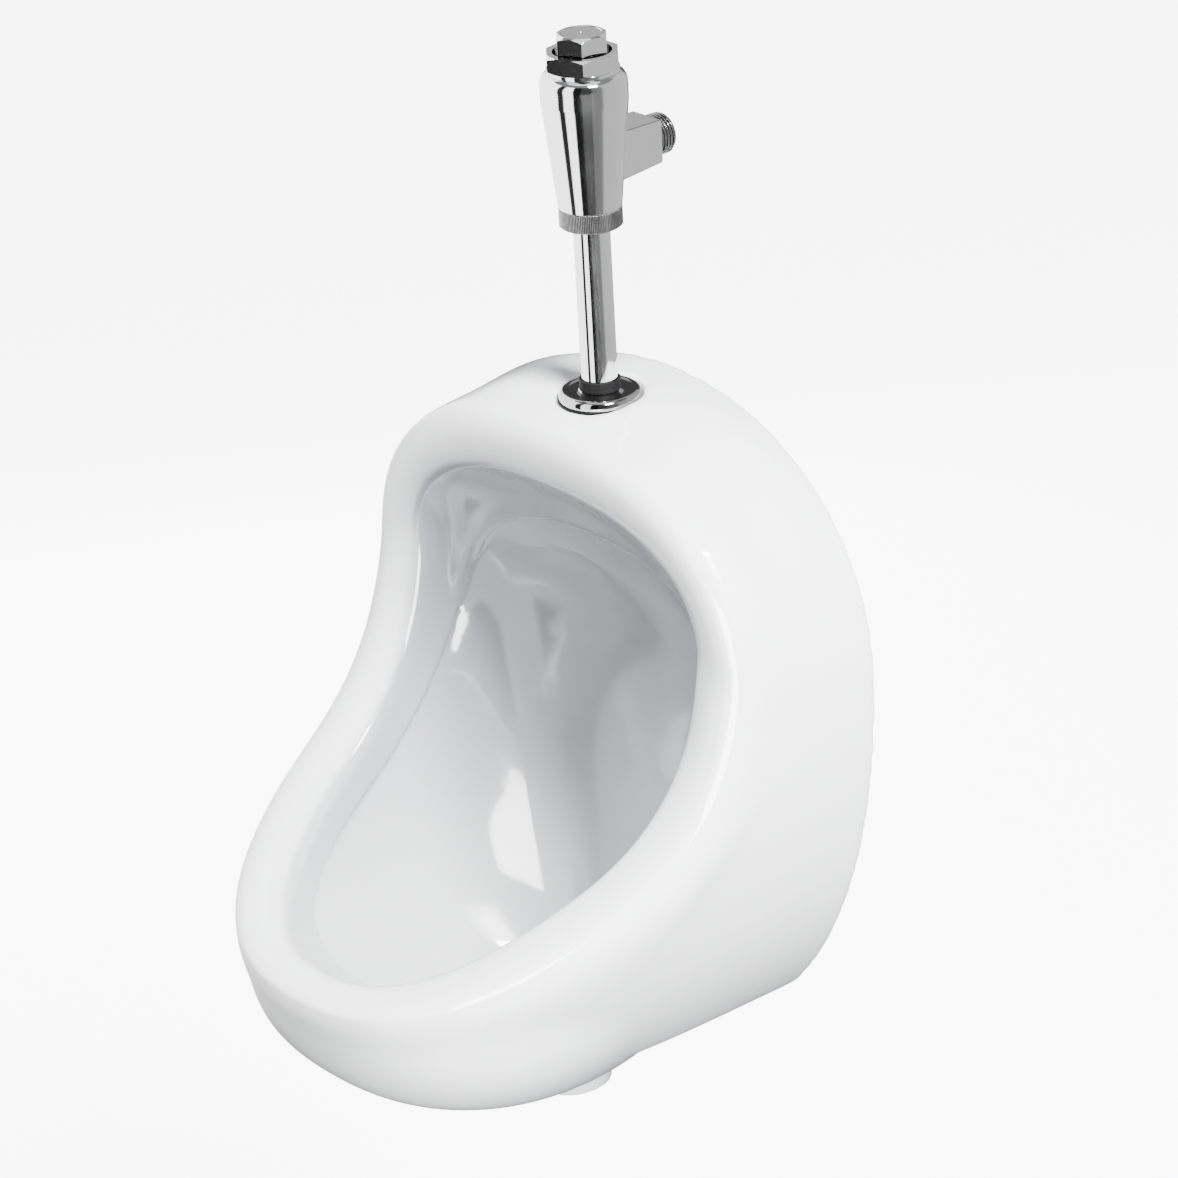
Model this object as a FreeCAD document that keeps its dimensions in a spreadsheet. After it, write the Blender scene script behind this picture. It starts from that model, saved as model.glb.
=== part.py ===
import FreeCAD, Part
import Sketcher
import math
import os

os.makedirs("parts", exist_ok=True)
doc = FreeCAD.newDocument("Urinal")
V = FreeCAD.Vector
QUARTER_TURN = 0.25

# Driving dimensions in millimetres and degrees. Drops are measured down from the line through the
# two wall hook screws, depths from the wall, and heights of the valve from the deck it stands on.
SIZES = {
    # Front face of the rim seen from the side: upright, then a bend, then a straight sweep forward
    "face_depth": 85, "crown_height": 54, "bend_drop": 36, "bend_radius": 110, "bend_angle": 63,
    # Rings on the face line: steps inwards, then distances along the line from the crown
    "rim_step": 2.5, "rim_start": 0, "rim_widest": 108, "rim_end": 342,
    "rim_breadth": 36, "mouth_start": 33, "mouth_widest": 90, "mouth_end": 315,
    "throat_step": 3, "throat_start": 68, "throat_widest": 158, "throat_end": 301,
    "rim_roll": 20, "mouth_drop": 4, "throat_depth": 28,
    # Outline on the wall and the skirt
    "wall_half_width": 143.5, "wall_rise": 9, "wall_widest_drop": 62, "skirt_drop": 260.5,
    "skirt_tail": 28.5, "skirt_corner": 4, "skirt_fall": 1, "shoulder_lift": 6,
    # Thickness of the casting
    "ceramic_wall": 9.5, "rim_thickness": 46, "floor_thickness": 16, "front_wall": 19,
    "side_wall": 5, "overrun": 12,
    # Basin and outlet
    "undercut": 10, "front_plug_inset": 8, "rear_plug_inset": 58, "basin_spread": 11,
    "basin_back": 22, "basin_drop": 270, "basin_front": 236, "outlet_depth": 90,
    "sump_radius": 24, "outlet_bore": 16, "spigot_radius": 22.5, "spigot_bore": 18,
    "spigot_length": 17, "ledge_thickness": 10,
    # Inlet in the crown
    "axis_depth": 45, "deck_rise": 3.2, "deck_radius": 21.5, "deck_foot_radius": 27,
    "deck_slope": 5, "inlet_bore": 17.5, "inlet_bore_depth": 24, "waterway_bore": 8,
    "waterway_drop": 26, "duct_radius": 25,
    # Wall hooks and the web that hangs on them
    "hook_inset": 73.5, "hook_width": 24, "hook_plate": 3, "hook_rise": 15, "hook_drop": 18,
    "hook_lip": 12, "hook_screw_bore": 3.3, "web_thickness": 12, "web_above": 15, "web_below": 8,
    "slot_side_clearance": 4, "slot_drop_clearance": 4, "lip_clearance": 0.3,
    # Fits
    "seat_clearance": 0.3, "slide_clearance": 0.3, "sleeve_gap": 0.1, "spool_play": 0.6,
    "bonnet_play": 0.4, "cap_play": 0.7,
    # Flush pipe, rosette and seals
    "pipe_radius": 9, "pipe_wall": 1, "pipe_end_gap": 0.5, "rosette_edge": 1.8,
    "rosette_height": 5.8, "rosette_rise": 0.3, "rosette_wall": 1, "neck_wall": 0.7, "neck_top": 6.8,
    "gasket_thickness": 1.2, "gasket_radius": 19.2, "seal_ring_wall": 0.9, "seal_ring_height": 5.1,
    "seal_ring_edge": 0.6, "inlet_seal_lip": 2,
    # Knurled coupling ring
    "valve_foot": 100.3, "coupling_wall": 2.7, "coupling_height": 9.6, "coupling_floor": 2,
    "coupling_thread": 12.8, "coupling_edge": 0.7, "knurl_depth": 0.5, "knurl_width": 1.1,
    "coupling_seal_height": 2.4, "nozzle_height": 4.8,
    # Valve body
    "socket_height": 4, "throat_height": 2, "throat_bore": 7.5, "chamber_radius": 13.2,
    "thread_step": 2.3, "foot_wall": 2.3, "belt_wall": 5.7, "body_thread_height": 10,
    "belt_drop": 14, "shoulder_drop": 6, "shoulder_round": 4.5,
    # Inlet arm and its threaded end
    "arm_width": 21.5, "arm_above": 11, "arm_below": 11, "arm_slope": 4, "arm_end": 7,
    "arm_round": 1.5, "inlet_offset": -0.5, "inlet_radius": 10.48, "inlet_overhang": 3,
    "inlet_bore_radius": 6.5, "thread_pitch": 1.814, "thread_cut": 0.9, "filter_thickness": 1.4,
    "filter_hole": 1.1,
    # Cartridge sleeve and spool
    "sleeve_bore": 7.6, "sleeve_wall": 3.2, "sleeve_length": 44.4, "sleeve_flange": 2,
    "sleeve_floor_bore": 5.2, "sleeve_seal_height": 1.4, "sleeve_seal_bore": 8.5,
    "window_rise": 5.5, "window_height": 7, "window_width": 5,
    "spool_length": 30.2, "spool_bore": 3, "waist_cut": 2.5, "waist_rise": 15.2,
    "waist_height": 6, "bore_reach": 4.8, "cross_bore": 1.8, "groove_height": 1.6,
    "groove_cut": 1.4, "lower_groove_rise": 2.2, "upper_groove_rise": 13.2,
    "spool_ring_section": 0.8,
    # Bonnet, stem and button
    "bonnet_spigot_height": 6, "cavity_above": 4, "bonnet_cavity": 8.6, "bonnet_floor_height": 7,
    "bonnet_ring_height": 2, "bonnet_ring_wall": 2.3, "bonnet_hex_height": 8,
    "bonnet_corner_radius": 19.7, "bonnet_bevel": 1.2, "bonnet_recess": 14.4,
    "stem_radius": 2.5, "stem_collar_wall": 2, "stem_collar_height": 2.2, "stem_groove_rise": 2,
    "stem_groove_height": 2.2, "stem_groove_cut": 2.1, "stem_ring_section": 0.9,
    "cap_lift": 7, "cap_height": 11, "cap_roof": 3, "cap_wall": 3.8, "cap_edge": 1.7,
    "cap_top_radius": 11, "cap_boss_wall": 1.7, "cap_boss_rise": 2, "hex_turn": 39,
    # Springs
    "return_wire": 0.8, "return_radius": 6.2, "return_turns": 3.5, "return_height": 10.4,
    "button_wire": 0.9, "button_coil_radius": 6.5, "button_turns": 6,
    # Waste strainer
    "strainer_radius": 20.8, "strainer_thickness": 2.2, "strainer_edge": 0.6,
    "strainer_gasket_height": 1.5, "strainer_gasket_bore": 17.2, "strainer_hole": 2,
    "strainer_outer_circle": 14.5, "strainer_inner_circle": 8.6, "screw_radius": 2.75,
    "screw_head_radius": 5.6, "screw_head_height": 2.4, "screw_clearance": 0.4, "screw_end": 2,
    "bridge_width": 9, "bridge_thickness": 5,
}

# Sizes worked out from the driving ones
WORKED_OUT = {
    "hook_spacing": "2 * (wall_half_width - hook_inset)",
    "deck_height": "crown_height + deck_rise",
    "wall_top": "crown_height + wall_rise",
    "bend_height": "-bend_drop",
    "wall_widest": "-wall_widest_drop",
    "skirt_bottom": "-skirt_drop",
    "wall_lower_reach": "skirt_drop - wall_widest_drop + skirt_tail",
    "rim_half_width": "wall_half_width - rim_step",
    "mouth_half_width": "rim_half_width - rim_breadth",
    "throat_half_width": "mouth_half_width - throat_step",
    "basin_half_width": "throat_half_width + basin_spread",
    "bowl_half_width": "basin_half_width + side_wall",
    "bowl_front": "basin_front + front_wall",
    "basin_bottom": "-basin_drop",
    "bowl_bottom": "basin_bottom - floor_thickness",
    "spigot_bottom": "bowl_bottom - spigot_length",
    "waterway_bottom": "-waterway_drop",
    "rosette_radius": "gasket_radius + seat_clearance + rosette_wall",
    "pipe_bore": "pipe_radius + seat_clearance",
    "neck_radius": "pipe_bore + neck_wall",
    "seal_ring_radius": "pipe_bore + seal_ring_wall",
    "coupling_radius": "coupling_thread + coupling_wall",
    "socket_top": "valve_foot + socket_height",
    "pipe_top": "socket_top - pipe_end_gap",
    "chamber_foot": "socket_top + throat_height",
    "bonnet_thread": "chamber_radius + thread_step",
    "body_foot_radius": "chamber_radius + foot_wall",
    "body_belt_radius": "bonnet_thread + belt_wall",
    "sleeve_foot": "chamber_foot + sleeve_gap + sleeve_seal_height + sleeve_gap",
    "sleeve_floor": "sleeve_foot + sleeve_flange",
    "sleeve_top": "sleeve_foot + sleeve_length",
    "sleeve_radius": "sleeve_bore + sleeve_wall",
    "sleeve_flange_radius": "chamber_radius - seat_clearance",
    "spool_foot": "sleeve_floor + return_height",
    "spool_top": "spool_foot + spool_length",
    "spool_land": "sleeve_bore - spool_play",
    "spool_waist": "spool_land - waist_cut",
    "groove_floor": "spool_land - groove_cut",
    "lower_groove": "spool_foot + lower_groove_rise",
    "upper_groove": "spool_foot + upper_groove_rise",
    "waist_foot": "spool_foot + waist_rise",
    "spool_bore_top": "waist_foot + bore_reach",
    "window_foot": "spool_foot + window_rise",
    "inlet_height": "window_foot + inlet_offset",
    "arm_top": "inlet_height + arm_above",
    "arm_foot_outer": "inlet_height - arm_below",
    "arm_foot_inner": "arm_foot_outer - arm_slope",
    "thread_foot": "sleeve_top + bonnet_spigot_height",
    "body_top": "thread_foot + body_thread_height",
    "belt_start": "body_top - belt_drop",
    "belt_end": "body_top - shoulder_drop",
    "bonnet_foot_radius": "chamber_radius - bonnet_play",
    "bonnet_floor": "thread_foot + cavity_above",
    "bonnet_recess_foot": "bonnet_floor + bonnet_floor_height",
    "bonnet_ring_radius": "bonnet_thread + bonnet_ring_wall",
    "bonnet_hex_foot": "body_top + bonnet_ring_height",
    "bonnet_top": "bonnet_hex_foot + bonnet_hex_height",
    "stem_foot": "spool_top + slide_clearance",
    "stem_collar_radius": "stem_radius + stem_collar_wall",
    "stem_groove_foot": "bonnet_floor + stem_groove_rise",
    "stem_groove_radius": "stem_radius + stem_groove_cut",
    "cap_foot": "bonnet_recess_foot + cap_lift",
    "cap_top": "cap_foot + cap_height",
    "cap_corner_radius": "bonnet_recess - cap_play",
    "cap_cavity": "cap_corner_radius - cap_wall",
    "cap_boss_radius": "stem_radius + cap_boss_wall",
    "cap_boss_foot": "cap_foot + cap_boss_rise",
}

sheet = doc.addObject("Spreadsheet::Sheet", "Sizes")
cells = [(alias, str(value)) for alias, value in SIZES.items()]
cells += [(alias, "=" + words) for alias, words in WORKED_OUT.items()]
for row, (alias, words) in enumerate(cells, 1):
    sheet.set("A%d" % row, alias)
    sheet.set("B%d" % row, words)
    sheet.setAlias("B%d" % row, alias)
doc.recompute()


def size(alias):
    """Value of one driving dimension."""
    return float(getattr(sheet, alias))


class Size:
    """A length with its value and the words of the expression that binds it to the sheet."""

    def __init__(self, value, words):
        self.value = float(value)
        self.words = words

    def joined(self, sign, other, value, swapped=False):
        theirs = other.words if isinstance(other, Size) else repr(other)
        first, second = (theirs, self.words) if swapped else (self.words, theirs)
        return Size(value, "(%s %s %s)" % (first, sign, second))

    def __add__(self, other):
        return self.joined("+", other, self.value + number(other))

    def __sub__(self, other):
        return self.joined("-", other, self.value - number(other))

    def __mul__(self, other):
        return self.joined("*", other, self.value * number(other))

    def __truediv__(self, other):
        return self.joined("/", other, self.value / number(other))

    def __neg__(self):
        return self * -1


def number(length):
    return length.value if isinstance(length, Size) else float(length)


class Sheet:
    """Reads each driving dimension by its name."""

    def __getattr__(self, alias):
        return Size(size(alias), "Sizes." + alias)


S = Sheet()


# Ring nets of the ceramic: every ring is a closed curve of poles, symmetric about the middle plane
RING_COUNT = 60
ROUND_SHARE, WALL_SHARE, RIM_SHARE, BASIN_SHARE = 2.0, 2.12, 2.4, 2.5
# A plug grows by this share where its net leaves it, and the roof of the hollow ends at this share
PLUG_SHARE, ROOF_SHARE = 1.1, 0.6
# How much deeper the skin of the bowl starts than its basin, and how much of its wall the floor adds
SKIN_SHARE, FLOOR_SHARE = 1.3, 0.7


def lobes(step, power):
    """Sideways and lengthwise share of one pole of a rounded outline; lengthwise is 1 at the top."""
    turn = 2 * math.pi * step / RING_COUNT
    across, along = math.sin(turn), math.cos(turn)
    return (math.copysign(abs(across) ** (2 / power), across),
            math.copysign(abs(along) ** (2 / power), along))


def face_point(along, inset):
    """Depth and height of a point of the face line, moved square into the body by the inset."""
    upright = size("crown_height") - size("bend_height")
    radius = size("bend_radius")
    angle = math.radians(size("bend_angle"))
    turned = min(max((along - upright) / radius, 0), angle)
    straight = min(along, upright)
    swept = max(along - upright - radius * angle, 0)
    depth = size("face_depth") + radius * (1 - math.cos(turned)) + swept * math.sin(turned)
    height = size("crown_height") - straight - radius * math.sin(turned) - swept * math.cos(turned)
    return depth - inset * math.cos(turned), height - inset * math.sin(turned)


def named_ring(name):
    """The half width, start, widest place and end of one of the rings on the face line."""
    return [size(name + "_" + part) for part in ("half_width", "start", "widest", "end")]


def between(first, second, share):
    return [a + (b - a) * share for a, b in zip(first, second)]


def grown(ring, margin):
    """A face ring widened by the same margin on every side."""
    return [ring[0] + margin, ring[1] - margin, ring[2], ring[3] + margin]


def face_ring(ring, inset, power):
    """Poles of a ring that follows the face line at an inset."""
    half_width, start, widest, end = ring
    poles = []
    for step in range(RING_COUNT):
        across, lengthwise = lobes(step, power)
        reach = (widest - start) if lengthwise > 0 else (end - widest)
        depth, height = face_point(widest - reach * lengthwise, inset)
        poles.append(V(half_width * across, -depth, height))
    return poles


def wall_ring(inset, depth):
    """Poles of the outline on the wall, with its flat lower edge, moved in by the inset."""
    half_width = size("wall_half_width") - inset
    middle = size("wall_widest")
    upper = size("wall_top") - inset - middle
    lower = size("wall_lower_reach") - inset
    floor = size("skirt_bottom") + inset
    corner = size("skirt_corner")
    poles = []
    for step in range(RING_COUNT):
        upper_half = min(step, RING_COUNT - step) < RING_COUNT / 4
        across, lengthwise = lobes(step, WALL_SHARE if upper_half else ROUND_SHARE)
        height = middle + (upper if lengthwise > 0 else lower) * lengthwise
        over = (floor + corner - height) / corner
        if over > 0:
            height = floor + corner - corner * math.tanh(over)
        poles.append(V(half_width * across, -depth, height))
    return poles


def flank_ring(wall, rim, depth_share, shift_share, swell_share):
    """Poles between the wall outline and the rim: how far forward, over to the rim, and swelled."""
    middle, floor = size("wall_widest"), size("skirt_bottom")
    top_share = 27 / 4
    poles = []
    for a, b in zip(wall, rim):
        low_share = max((middle - a.z) / (middle - floor), 0) ** 2
        across_share = (a.x / size("wall_half_width")) ** 2
        # Nothing in the middle and at the side, and 1 between them on the shoulder
        shoulder_share = top_share * across_share * (1 - across_share) ** 2 if a.z > middle else 0
        swell = size("shoulder_lift") * shoulder_share - size("skirt_fall") * low_share
        poles.append(V(a.x + (b.x - a.x) * shift_share, b.y * depth_share,
                       a.z + (b.z - a.z) * shift_share + swell * swell_share))
    return poles


def bowl_ring(back, front, half_width, bow, power):
    """Poles of a ring hung between a back point and a front point, each a depth and a height."""
    length = math.dist(back, front)
    down = ((back[1] - front[1]) / length, (front[0] - back[0]) / length)
    poles = []
    for step in range(RING_COUNT):
        across, lengthwise = lobes(step, power)
        share = (1 - lengthwise) / 2
        sag = bow * (1 - lengthwise ** 2)
        depth = back[0] + (front[0] - back[0]) * share - sag * down[0]
        height = back[1] + (front[1] - back[1]) * share - sag * down[1]
        poles.append(V(half_width * across, -depth, height))
    return poles


def net_solid(rings):
    """Solid inside a smooth net through the rings, closed by flat caps at its two flat end rings."""
    degree = 3
    spans = len(rings) - degree
    surface = Part.BSplineSurface()
    surface.buildFromPolesMultsKnots(
        [[ring[step] for ring in rings] for step in range(RING_COUNT)],
        [1] * (RING_COUNT + 1), [degree + 1] + [1] * (spans - 1) + [degree + 1],
        list(range(RING_COUNT + 1)), list(range(spans + 1)), True, False, degree, degree)
    half = RING_COUNT // 2
    sides = []
    for start, end in ((0, half), (half, RING_COUNT)):
        side = surface.copy()
        side.segment(start, end, 0, spans)
        sides.append(side)
    faces = [side.toShape() for side in sides]
    for place in (0, spans):
        faces.append(Part.Face(Part.Wire([side.vIso(place).toShape() for side in sides])))
    shell = Part.makeShell(faces)
    shell.sewShape()
    solid = Part.Solid(shell)
    if solid.Volume < 0:
        solid.reverse()
    return solid


def ceramic_block():
    """Rear body with its flank, rim and funnel, still solid behind."""
    rim, mouth, throat = named_ring("rim"), named_ring("mouth"), named_ring("throat")
    roll, drop, deep = size("rim_roll"), size("mouth_drop"), size("throat_depth")
    wall = wall_ring(0, 0)
    spread_share = 0.1
    under_rim = face_ring(grown(rim, roll * spread_share), roll, RIM_SHARE)
    flank_shares = ((0.06, 0, 0.1), (0.25, 0, 1), (0.5, 0.02, 1), (0.8, 0.15, 0.3))
    rings = [wall]
    rings += [flank_ring(wall, under_rim, *shares) for shares in flank_shares]
    rings.append(under_rim)
    # Across the rim: share of the way from the outer edge to the mouth, and inset as a share of the drop
    rim_shares = ((0, 0.5), (0.35, -0.4), (0.72, 0.1), (1, 0.8))
    rings += [face_ring(between(rim, mouth, across), inset * drop, RIM_SHARE)
              for across, inset in rim_shares]
    # Down the funnel: share of the way from the mouth to the throat, and inset as a share of its depth
    funnel_shares = ((0.12, 0.4), (0.5, 0.7), (0.95, 0.95), (1, 1.25), (1, 1.6))
    rings += [face_ring(between(mouth, throat, across), inset * deep, RIM_SHARE)
              for across, inset in funnel_shares]
    rings += [plug_ring("rear_plug_inset", PLUG_SHARE), plug_ring("rear_plug_inset", 1)]
    return net_solid(rings)


def plug_ring(inset, share):
    """Flat ring in the hollow of the basin where a net starts or ends."""
    radius = size("sump_radius") * share
    middle = size("throat_widest")
    return bowl_ring(face_point(middle - radius, size(inset)), face_point(middle + radius, size(inset)),
                     radius, 0, ROUND_SHARE)


def bowl_net(back, front, half_width, floor, floor_radius, margin, depth_share, plug):
    """Solid of the bowl between its throat and its floor: the skin and the hollow share this form."""
    throat = named_ring("throat")
    deep = size("throat_depth")
    top = size("bend_height")
    outlet = size("outlet_depth")
    lip = face_point(size("rim_end"), 0)[1]
    plug_shares, floor_shares = (1, 1.4), (1, 0.9)
    rings = [plug_ring(plug, share) for share in plug_shares]
    # Under the rim: how much wider than the throat, and how deep
    roof_shares = ((-1, 1), (0.7, 1), (1, 1.25))
    rings += [face_ring(grown(throat, margin * wider), deep * depth_share * deeper, RIM_SHARE)
              for wider, deeper in roof_shares]
    # Each ring below: way down the back and towards the outlet, the same at the front, width and sag
    ring_shares = ((0, 0.02, 0.06, -0.005, 1, 0.26), (0.27, 0, 0.32, 0.012, 0.95, 0.2),
                   (0.54, 0.03, 0.545, 0.09, 0.85, 0.14), (0.75, 0.16, 0.71, 0.25, 0.68, 0.09),
                   (0.9, 0.4, 0.835, 0.49, 0.475, 0.05), (0.985, 0.66, 0.93, 0.751, 0.31, 0.02))
    for down, inwards, front_down, front_inwards, width, sag in ring_shares:
        back_point = (back + (outlet - back) * inwards, top + (floor - top) * down)
        front_point = (front + (outlet - front) * front_inwards, lip + (floor - lip) * front_down)
        rings.append(bowl_ring(back_point, front_point, half_width * width, half_width * sag, BASIN_SHARE))
    for share in floor_shares:
        radius = floor_radius * share
        rings.append(bowl_ring((outlet - radius, floor), (outlet + radius, floor), radius, 0, ROUND_SHARE))
    return net_solid(rings)


def upright_cylinder(radius, foot, top, depth):
    """Upright cylinder of the casting at a depth from the wall."""
    return Part.makeCylinder(radius, top - foot, V(0, -depth, foot), V(0, 0, 1))


def block_between(low, high):
    """Box between two opposite corners."""
    return Part.makeBox(high[0] - low[0], high[1] - low[1], high[2] - low[2], V(*low))


def rear_hollow(skin):
    """Hollow behind the casting, open to the wall, around the skin of the bowl."""
    wall, thick = size("ceramic_wall"), size("rim_thickness")
    edge = wall_ring(wall, 0)
    rim = grown(named_ring("rim"), -wall)
    under_rim = face_ring(rim, thick, RIM_SHARE)
    rings = [wall_ring(wall, -size("overrun")), wall_ring(wall, -size("overrun") / 2), edge]
    flank_shares = ((0.35, 0, 0.6), (0.75, 0.2, 0))
    rings += [flank_ring(edge, under_rim, *shares) for shares in flank_shares]
    rings.append(under_rim)
    rings.append(face_ring(between(rim, named_ring("throat"), ROOF_SHARE), thick, RIM_SHARE))
    rings += [plug_ring("rear_plug_inset", PLUG_SHARE), plug_ring("rear_plug_inset", 1)]
    deck, reach = size("deck_height"), size("wall_half_width")
    duct = upright_cylinder(size("duct_radius"), size("waterway_bottom"), deck, size("axis_depth"))
    web = block_between((-reach, -size("web_thickness"), -size("hook_drop") - size("web_below")),
                        (reach, size("overrun") * 2, size("hook_rise") + size("web_above")))
    hollow = net_solid(rings).cut(skin).cut(duct).cut(web)
    return max(hollow.Solids, key=lambda solid: solid.Volume)


def hook_slots():
    """The two slots of the web that hang on the wall hooks."""
    side = size("hook_width") / 2 + size("slot_side_clearance")
    foot = -size("hook_drop") - size("slot_drop_clearance")
    slots = []
    for sign in (-1, 1):
        middle = sign * size("hook_spacing") / 2
        slots.append(block_between((middle - side, -size("web_thickness") - size("overrun"), foot),
                                   (middle + side, size("overrun"), size("hook_rise"))))
    return slots


def ceramic_bowl():
    """The glazed casting."""
    wall, over = size("ceramic_wall"), size("overrun")
    deck, axis, outlet = size("deck_height"), size("axis_depth"), size("outlet_depth")
    floor, ledge = size("basin_bottom"), size("basin_bottom") - size("ledge_thickness")
    skin = bowl_net(size("basin_back") - wall, size("bowl_front"), size("bowl_half_width"),
                    size("bowl_bottom"), size("sump_radius") + wall * FLOOR_SHARE,
                    size("undercut") + wall, SKIN_SHARE, "rear_plug_inset")
    basin = bowl_net(size("basin_back"), size("basin_front"), size("basin_half_width"), floor,
                     size("sump_radius"), size("undercut"), 1, "front_plug_inset")
    spigot = upright_cylinder(size("spigot_radius"), size("spigot_bottom"), floor - over, outlet)
    slope = size("deck_slope")
    pad = Part.makeCone(size("deck_foot_radius"), size("deck_radius"), slope, V(0, -axis, deck - slope))
    outer = ceramic_block().fuse([skin, spigot, pad])
    cuts = [rear_hollow(skin), basin,
            upright_cylinder(size("deck_radius"), deck, deck + over, axis),
            upright_cylinder(size("inlet_bore"), deck - size("inlet_bore_depth"), deck + over, axis),
            upright_cylinder(size("waterway_bore"), size("waterway_bottom"), deck, axis),
            upright_cylinder(size("outlet_bore"), ledge - over, floor + over, outlet),
            upright_cylinder(size("spigot_bore"), size("spigot_bottom") - over, ledge, outlet)]
    casting = outer.cut(cuts + hook_slots())
    return max(casting.Solids, key=lambda solid: solid.Volume)


# Document objects: every corner, radius and offset is bound to the sheet
def placed(item, x=0, y=0, z=0, axis=None, angle=0):
    """Turns an object about an axis and binds its offsets to the sheet."""
    if axis:
        item.Placement = FreeCAD.Placement(V(), FreeCAD.Rotation(axis, angle))
    for letter, offset in zip("xyz", (x, y, z)):
        if isinstance(offset, Size):
            item.setExpression("Placement.Base." + letter, offset.words)
    return item


def on_axis(item, **turn):
    """Sets an object on the axis of the valve, with its heights counted from the deck."""
    return placed(item, y=-S.axis_depth, z=S.deck_height, **turn)


def sketch_on(body, name, role):
    """Empty sketch on one of the origin planes of a body."""
    plane = next(item for item in body.Origin.OriginFeatures if item.Role == role)
    sketch = body.newObject("Sketcher::SketchObject", name)
    sketch.AttachmentSupport = [(plane, "")]
    sketch.MapMode = "FlatFace"
    return sketch


def bind_point(sketch, edge, spot, lengths):
    """Fixes a point of a sketch by its two lengths from the origin."""
    for kind, axis, length in zip(("DistanceX", "DistanceY"), (-2, -1), lengths):
        if number(length) == 0:
            sketch.addConstraint(Sketcher.Constraint("PointOnObject", edge, spot, axis))
        else:
            index = sketch.addConstraint(Sketcher.Constraint(kind, edge, spot, number(length)))
            sketch.setExpression("Constraints[%d]" % index, length.words)


def outline(body, name, role, corners):
    """Closed outline of straight edges."""
    sketch = sketch_on(body, name, role)
    spots = [V(number(across), number(up), 0) for across, up in corners]
    count = len(spots)
    for step in range(count):
        sketch.addGeometry(Part.LineSegment(spots[step], spots[(step + 1) % count]), False)
    sketch.addConstraint([Sketcher.Constraint("Coincident", step, 2, (step + 1) % count, 1)
                          for step in range(count)])
    for step, corner in enumerate(corners):
        bind_point(sketch, step, 1, corner)
    return sketch


def ring_outline(body, name, role, radius, centre):
    """Circle with its radius and centre bound."""
    sketch = sketch_on(body, name, role)
    middle = V(number(centre[0]), number(centre[1]), 0)
    sketch.addGeometry(Part.Circle(middle, V(0, 0, 1), number(radius)), False)
    index = sketch.addConstraint(Sketcher.Constraint("Radius", 0, number(radius)))
    sketch.setExpression("Constraints[%d]" % index, radius.words)
    bind_point(sketch, 0, 3, centre)
    return sketch


def turned(name, corners):
    """Body turned about its upright axis from corners given as radius and height."""
    body = doc.addObject("PartDesign::Body", name)
    sketch = outline(body, name + "_outline", "XZ_Plane", corners)
    turn = body.newObject("PartDesign::Revolution", name + "_turn")
    turn.Profile = sketch
    turn.ReferenceAxis = (sketch, ["V_Axis"])
    turn.Angle = 360
    return body


def pulled(name, corners, width):
    """Body pulled evenly to both sides from its side outline, given as forward and up."""
    body = doc.addObject("PartDesign::Body", name)
    sketch = outline(body, name + "_outline", "YZ_Plane", corners)
    pad = body.newObject("PartDesign::Pad", name + "_pad")
    pad.Profile = sketch
    pad.Midplane = True
    pad.setExpression("Length", width.words)
    return body


def pierced(body, sketch, count=1, both=False):
    """Cuts a sketch right through a body, repeated evenly around its upright axis."""
    pocket = body.newObject("PartDesign::Pocket", sketch.Name + "_cut")
    pocket.Profile = sketch
    pocket.Type = "ThroughAll"
    pocket.Midplane = both
    pocket.Reversed = not both
    body.Tip = pocket
    if count > 1:
        pattern = body.newObject("PartDesign::PolarPattern", sketch.Name + "_around")
        upright = next(item for item in body.Origin.OriginFeatures if item.Role == "Z_Axis")
        pattern.Originals = [pocket]
        pattern.Axis = (upright, [""])
        pattern.Angle = 360
        pattern.Occurrences = count
        body.Tip = pattern
    return body


def primitive(kind, name, **sizes):
    """Simple solid with its sizes bound to the sheet."""
    item = doc.addObject("Part::" + kind, name)
    for prop, length in sizes.items():
        item.setExpression(prop, length.words)
    return item


def joined(name, pieces):
    item = doc.addObject("Part::MultiFuse", name)
    item.Shapes = pieces
    return item


def shared(name, first, second):
    item = doc.addObject("Part::Common", name)
    item.Base, item.Tool = first, second
    return item


def cut_from(name, base, tool):
    item = doc.addObject("Part::Cut", name)
    item.Base, item.Tool = base, tool
    return item


def tube(inner, outer, foot, top):
    """Corners of a plain ring."""
    return [(inner, foot), (outer, foot), (outer, top), (inner, top)]


def rod(radius, foot, top):
    """Corners of a plain cylinder."""
    return tube(0, radius, foot, top)


def hexagon(name, corner_radius, foot, top):
    """Upright hexagon bar with one of its edges turned to the front right."""
    bar = primitive("Prism", name, Circumradius=corner_radius, Height=top - foot)
    bar.Polygon = 6
    return placed(bar, y=-S.axis_depth, z=S.deck_height + foot, axis=V(0, 0, 1), angle=-size("hex_turn"))


def coil(name, radius, wire, turns, foot, top):
    """Compression spring between two heights above the deck."""
    helix = primitive("Helix", name + "_line", Radius=radius, Height=top - foot - wire,
                      Pitch=(top - foot - wire) / turns)
    helix.SegmentLength = QUARTER_TURN
    section = primitive("Circle", name + "_section", Radius=wire / 2)
    placed(section, x=radius, axis=V(1, 0, 0), angle=90)
    spring = doc.addObject("Part::Sweep", name)
    spring.Sections = [section]
    spring.Spine = (helix, [])
    spring.Solid = True
    spring.Frenet = True
    return placed(spring, y=-S.axis_depth, z=S.deck_height + foot + wire / 2)


def along_inlet(item):
    """Turns a body from upright to the axis of the inlet, with its heights counted from the wall."""
    return placed(item, z=S.deck_height + S.inlet_height, axis=V(1, 0, 0), angle=-90)


def casting():
    """Bowl, placed by its own form."""
    item = doc.addObject("Part::Feature", "ceramic_bowl")
    item.Shape = ceramic_bowl()
    item.Placement = FreeCAD.Placement()
    return item


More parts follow.
